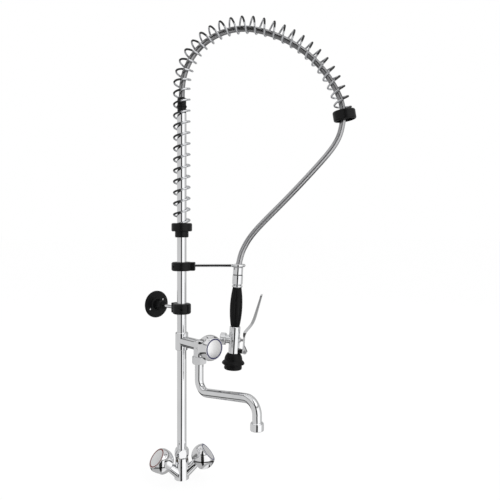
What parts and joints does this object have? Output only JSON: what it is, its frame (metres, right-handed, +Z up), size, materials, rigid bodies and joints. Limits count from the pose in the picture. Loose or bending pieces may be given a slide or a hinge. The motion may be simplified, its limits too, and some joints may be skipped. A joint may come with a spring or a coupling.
{
  "type": "pre rinse faucet",
  "caption": "Deck-mounted pre-rinse mixer with a sprung hose arch, trigger spray gun, hook arm, wall bracket and a swivel spout with its own valve.",
  "frame": {"origin": "centre of the mixer's round foot, on the deck it stands on", "axes": "+Z up along the column, +Y towards the wall behind, -Y towards the sink along the spout at rest; the spring arch lies 46 degrees from -Y towards +X"},
  "size_m": [0.3766, 0.3972, 1.0804],
  "materials": {
    "chrome_casting": "polished chrome plate on cast brass",
    "chrome_nut": "polished chrome plate",
    "chrome_tube": "mirror-polished chrome tube",
    "chrome_fitting": "polished chrome plate",
    "knob_chrome": "glossy chromed handwheel",
    "cap_chrome": "glossy domed cap",
    "index_red": "glossy",
    "index_blue": "glossy",
    "steel": "satin stainless steel",
    "black_steel": "blackened steel screw",
    "brass": "turned",
    "seal_rubber": "matt",
    "white_plastic": "matt",
    "black_plastic": "fine-grained moulded plastic",
    "spring_steel": "polished stainless wire",
    "braided_hose": "braided stainless wire",
    "lever_chrome": "polished",
    "grip_rubber": "satin moulded grip",
    "head_rubber": "matt moulded rubber",
    "spray_face": "brushed"
  },
  "bodies": {
    "column": {"base_body": "chrome_casting", "tee_body": "chrome_casting", "column_nut": "chrome_nut", "spout_nut": "chrome_nut", "lower_column": "chrome_tube", "upper_column": "chrome_tube", "hook_rod": "chrome_tube", "wall_rod": "chrome_tube", "hose_ferrule": "chrome_fitting", "wall_clamp_screw": "black_steel", "hook_clamp_screw": "black_steel", "spring_holder_screw": "black_steel", "hot_headwork": "brass", "cold_headwork": "brass", "spout_headwork": "brass", "base_gasket": "seal_rubber", "wall_clamp": "black_plastic", "wall_flange": "black_plastic", "hook_clamp": "black_plastic", "spring_holder": "black_plastic", "spring_end_collar": "black_plastic", "hose_coupling": "black_plastic", "spring": "spring_steel", "hose_in_spring": "braided_hose", "hose_free": "braided_hose"},
    "hot_handle": {"hot_knob": "knob_chrome", "hot_index_ring": "index_red", "hot_cap": "cap_chrome", "hot_knob_screw": "steel", "hot_spindle": "brass"},
    "cold_handle": {"cold_knob": "knob_chrome", "cold_index_ring": "index_blue", "cold_cap": "cap_chrome", "cold_knob_screw": "steel", "cold_spindle": "brass"},
    "spout_handle": {"spout_knob": "knob_chrome", "spout_index_ring": "index_blue", "spout_cap": "cap_chrome", "spout_knob_screw": "steel", "spout_spindle": "brass"},
    "spout": {"spout_pipe": "chrome_tube", "spout_bush": "white_plastic", "aerator_housing": "chrome_fitting", "aerator_insert": "white_plastic"},
    "gun": {"swivel_ferrule": "chrome_fitting", "swivel_seal": "seal_rubber", "handle_core": "steel", "grip": "grip_rubber", "gun_body": "chrome_fitting", "valve_cap": "chrome_fitting", "lever_yoke": "black_plastic", "pivot_pin": "steel", "spray_head": "head_rubber", "spray_face": "spray_face"},
    "lever": {"lever": "lever_chrome"},
    "plunger": {"plunger": "steel"}
  },
  "joints": [
    {"name": "hot_knob_turn", "type": "hinge", "parent": "column", "child": "hot_handle", "pos_m": [-0.03312, 0.00881, 0.03617], "axis": [-0.7359, 0.1958, 0.6481], "range_deg": [0, 90]},
    {"name": "cold_knob_turn", "type": "hinge", "parent": "column", "child": "cold_handle", "pos_m": [0.02629, -0.02198, 0.03617], "axis": [0.5842, -0.4885, 0.6481], "range_deg": [0, 90]},
    {"name": "spout_knob_turn", "type": "hinge", "parent": "column", "child": "spout_handle", "pos_m": [0, -0.082, 0.321], "axis": [0, -1, 0], "range_deg": [0, 90]},
    {"name": "spout_swivel", "type": "hinge", "parent": "column", "child": "spout", "pos_m": [0, -0.065, 0.297], "axis": [0, 0, 1], "range_deg": [-120, 120]},
    {"name": "gun_swivel", "type": "hinge", "parent": "column", "child": "gun", "pos_m": [0.0943, -0.09106, 0.47597], "axis": [0.0376, -0.0364, 0.9986], "continuous": true},
    {"name": "lever_squeeze", "type": "hinge", "parent": "gun", "child": "lever", "pos_m": [0.10357, -0.10505, 0.29667], "axis": [-0.7879, -0.6158, 0.0073], "range_deg": [0, 12], "stiffness_Nm_per_rad": 1.5, "springref_deg": -8.59},
    {"name": "plunger_travel", "type": "slide", "parent": "gun", "child": "plunger", "axis": [-0.6147, 0.7871, 0.0518], "range_m": [0, 0.0058]}
  ],
  "couplings": [
    {"joint": "plunger_travel", "follows": "lever_squeeze", "m_per_rad": 0.02693}
  ]
}
